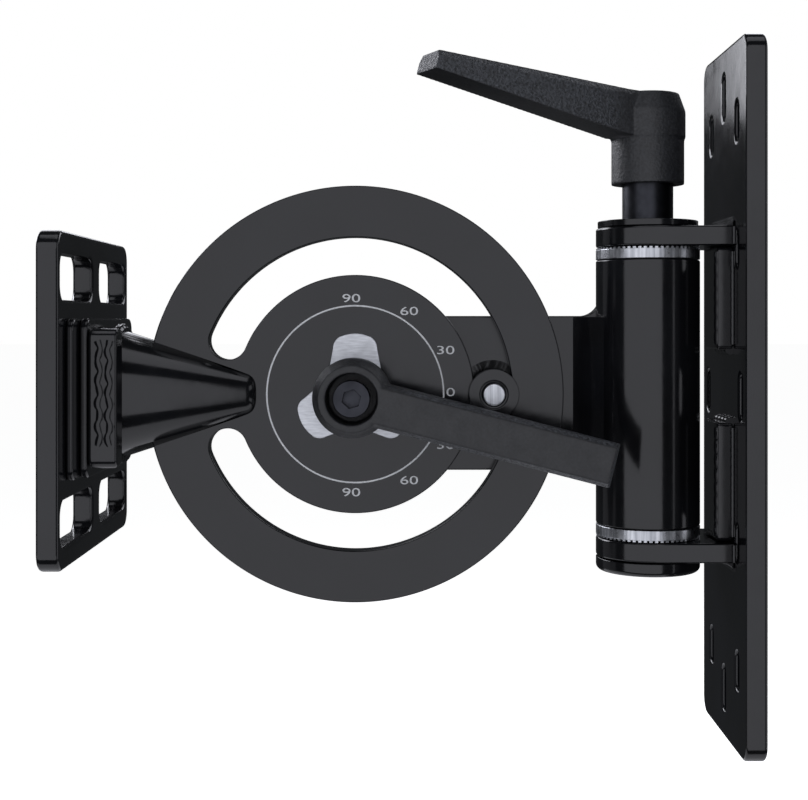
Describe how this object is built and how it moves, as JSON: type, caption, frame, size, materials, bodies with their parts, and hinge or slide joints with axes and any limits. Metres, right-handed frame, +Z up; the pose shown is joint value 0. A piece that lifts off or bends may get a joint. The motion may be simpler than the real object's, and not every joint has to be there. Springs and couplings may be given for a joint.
{
  "type": "full motion screen wall mount",
  "caption": "Steel wall mount with a swivelling arm, a tilting dial and head plate for a small screen, and clamping levers for both motions.",
  "frame": {"origin": "middle of the wall plate's back face, which sits on the wall", "axes": "+Y points into the wall, -Y at the screen, +Z up, +X to the side of the dial and the tilt lever"},
  "size_m": [0.12, 0.26, 0.267],
  "materials": {
    "powder_coated_steel": "gloss black powder coat over steel",
    "grained_nylon": "fine-grained black glass-filled nylon",
    "bright_steel": "plain zinc-plated steel",
    "black_steel": "black oxide steel",
    "bronze": "sintered bronze bush",
    "spring_steel": "bright spring wire"
  },
  "bodies": {
    "wall_bracket": {"wall_plate": "powder_coated_steel", "yoke_upper_web": "powder_coated_steel", "yoke_lower_web": "powder_coated_steel", "yoke_upper_lug": "powder_coated_steel", "yoke_lower_lug": "powder_coated_steel", "upper_serrated_ring": "bright_steel", "lower_serrated_ring": "bright_steel", "king_bolt": "black_steel", "top_collar": "powder_coated_steel", "bottom_cap": "powder_coated_steel"},
    "swivel_arm": {"pivot_tube": "powder_coated_steel", "upper_bush": "bronze", "lower_bush": "bronze", "arm_plate": "powder_coated_steel", "guide_washer": "black_steel", "guide_boss": "powder_coated_steel", "guide_pin": "bright_steel", "guide_nut": "black_steel", "tilt_bolt": "black_steel"},
    "tilt_head": {"tilt_disc": "powder_coated_steel", "disc_bush": "bronze", "lobe_plate": "bright_steel", "cone": "powder_coated_steel", "cone_base": "powder_coated_steel", "side_block": "powder_coated_steel", "spacer_plate": "powder_coated_steel", "adapter_plate": "powder_coated_steel", "screen_plate": "powder_coated_steel"},
    "swivel_clamp": {"swivel_lever_insert": "black_steel", "swivel_lever_spring": "spring_steel", "swivel_lever_screw": "black_steel"},
    "swivel_lever_arm": {"swivel_lever": "grained_nylon"},
    "tilt_clamp": {"tilt_lever_insert": "black_steel", "tilt_lever_spring": "spring_steel", "tilt_lever_screw": "black_steel"},
    "tilt_lever_arm": {"tilt_lever": "grained_nylon"}
  },
  "joints": [
    {"name": "swivel", "type": "hinge", "parent": "wall_bracket", "child": "swivel_arm", "pos_m": [0, -0.0375, 0], "axis": [0, 0, 1], "range_deg": [-65, 45]},
    {"name": "tilt", "type": "hinge", "parent": "swivel_arm", "child": "tilt_head", "pos_m": [0, -0.151, 0], "axis": [1, 0, 0], "range_deg": [-45, 90]},
    {"name": "swivel_clamp_turn", "type": "hinge", "parent": "wall_bracket", "child": "swivel_clamp", "pos_m": [0, -0.0375, 0], "axis": [0, 0, 1], "range_deg": [-90, 90]},
    {"name": "swivel_lever_lift", "type": "slide", "parent": "swivel_clamp", "child": "swivel_lever_arm", "axis": [0, 0, 1], "range_m": [0, 0.004], "stiffness_N_per_m": 600, "springref_m": -0.008},
    {"name": "tilt_clamp_turn", "type": "hinge", "parent": "swivel_arm", "child": "tilt_clamp", "pos_m": [0, -0.151, 0], "axis": [1, 0, 0], "range_deg": [-45, 45]},
    {"name": "tilt_lever_lift", "type": "slide", "parent": "tilt_clamp", "child": "tilt_lever_arm", "axis": [1, 0, 0], "range_m": [0, 0.004], "stiffness_N_per_m": 600, "springref_m": -0.008}
  ]
}
